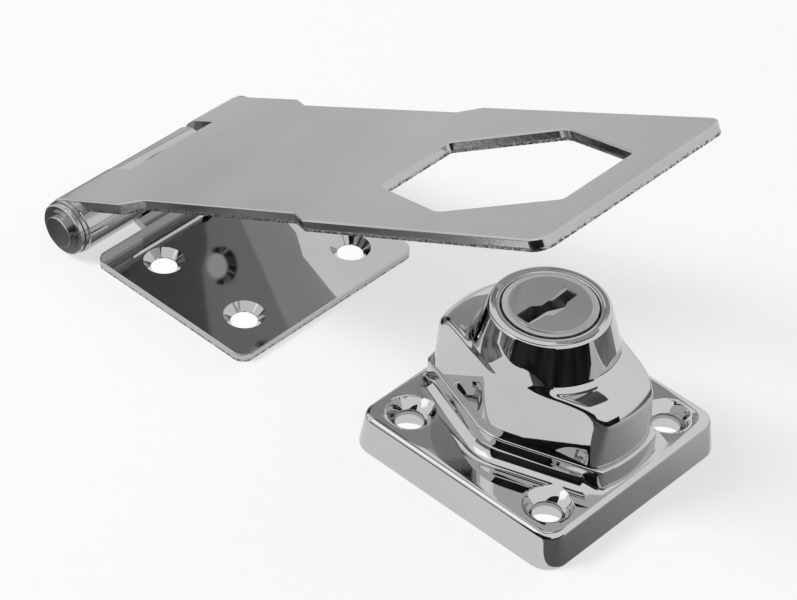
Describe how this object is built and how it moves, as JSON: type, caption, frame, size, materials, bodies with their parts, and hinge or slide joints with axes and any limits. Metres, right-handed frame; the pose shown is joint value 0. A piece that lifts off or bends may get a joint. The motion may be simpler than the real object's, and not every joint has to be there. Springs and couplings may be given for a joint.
{
  "type": "hasp",
  "caption": "Chromed keyed hasp: a hinged strap with a hexagonal cut-out, and a square lock base with a turning knob that holds the closed strap.",
  "frame": {"origin": "centre of the lock base's mounting face, on the knob's axis", "axes": "+Z stands off the mounting surface, +X runs from the hinge towards the strap's tip, +Y along the hinge pin"},
  "size_m": [0.1093, 0.0452, 0.0594],
  "materials": {
    "chromed_steel": "polished chrome on rolled steel sheet",
    "chromed_casting": "polished chrome on a zinc casting",
    "plug_metal": "satin chrome",
    "wafer_brass": "plain stamped brass",
    "plain_steel": "zinc plated steel"
  },
  "bodies": {
    "fixed_parts": {"hinge_leaf": "chromed_steel", "lock_base": "chromed_casting"},
    "strap": {"hinge_strap": "chromed_steel", "hinge_pin": "chromed_steel", "front_pin_washer": "chromed_steel", "back_pin_washer": "chromed_steel"},
    "knob": {"turn_knob": "chromed_casting", "hub_cap": "plain_steel", "stop_washer": "plain_steel", "spring_washer": "plain_steel", "retaining_ring": "plain_steel"},
    "plug": {"key_plug": "plug_metal", "drive_pin": "plain_steel", "plug_clip": "plain_steel", "wafer_springs": "plain_steel"},
    "bolt": {"locking_bolt": "plain_steel"},
    "wafer_1": {"wafer_1": "wafer_brass"},
    "wafer_2": {"wafer_2": "wafer_brass"},
    "wafer_3": {"wafer_3": "wafer_brass"},
    "wafer_4": {"wafer_4": "wafer_brass"},
    "wafer_5": {"wafer_5": "wafer_brass"}
  },
  "joints": [
    {"name": "strap_hinge", "type": "hinge", "parent": "fixed_parts", "child": "strap", "pos_m": [-0.084, 0, 0.005], "axis": [0, -1, 0], "range_deg": [-27, 153]},
    {"name": "knob_turn", "type": "hinge", "parent": "fixed_parts", "child": "knob", "pos_m": [0, 0, 0], "axis": [0, 0, 1], "range_deg": [0, 90]},
    {"name": "plug_turn", "type": "hinge", "parent": "knob", "child": "plug", "pos_m": [0, 0, 0], "axis": [0, 0, 1], "range_deg": [0, 90]},
    {"name": "bolt_slide", "type": "slide", "parent": "knob", "child": "bolt", "axis": [1, 0, 0], "range_m": [0, 0.00255]},
    {"name": "wafer_slide_1", "type": "slide", "parent": "plug", "child": "wafer_1", "axis": [0, 1, 0], "range_m": [0, 0.0006]},
    {"name": "wafer_slide_2", "type": "slide", "parent": "plug", "child": "wafer_2", "axis": [0, -1, 0], "range_m": [0, 0.0006]},
    {"name": "wafer_slide_3", "type": "slide", "parent": "plug", "child": "wafer_3", "axis": [0, 1, 0], "range_m": [0, 0.0006]},
    {"name": "wafer_slide_4", "type": "slide", "parent": "plug", "child": "wafer_4", "axis": [0, -1, 0], "range_m": [0, 0.0006]},
    {"name": "wafer_slide_5", "type": "slide", "parent": "plug", "child": "wafer_5", "axis": [0, 1, 0], "range_m": [0, 0.0006]}
  ],
  "couplings": [
    {"joint": "bolt_slide", "follows": "plug_turn", "m_per_rad": 0.0016206},
    {"joint": "wafer_slide_2", "follows": "wafer_slide_1", "ratio": 1},
    {"joint": "wafer_slide_3", "follows": "wafer_slide_1", "ratio": 1},
    {"joint": "wafer_slide_4", "follows": "wafer_slide_1", "ratio": 1},
    {"joint": "wafer_slide_5", "follows": "wafer_slide_1", "ratio": 1}
  ]
}
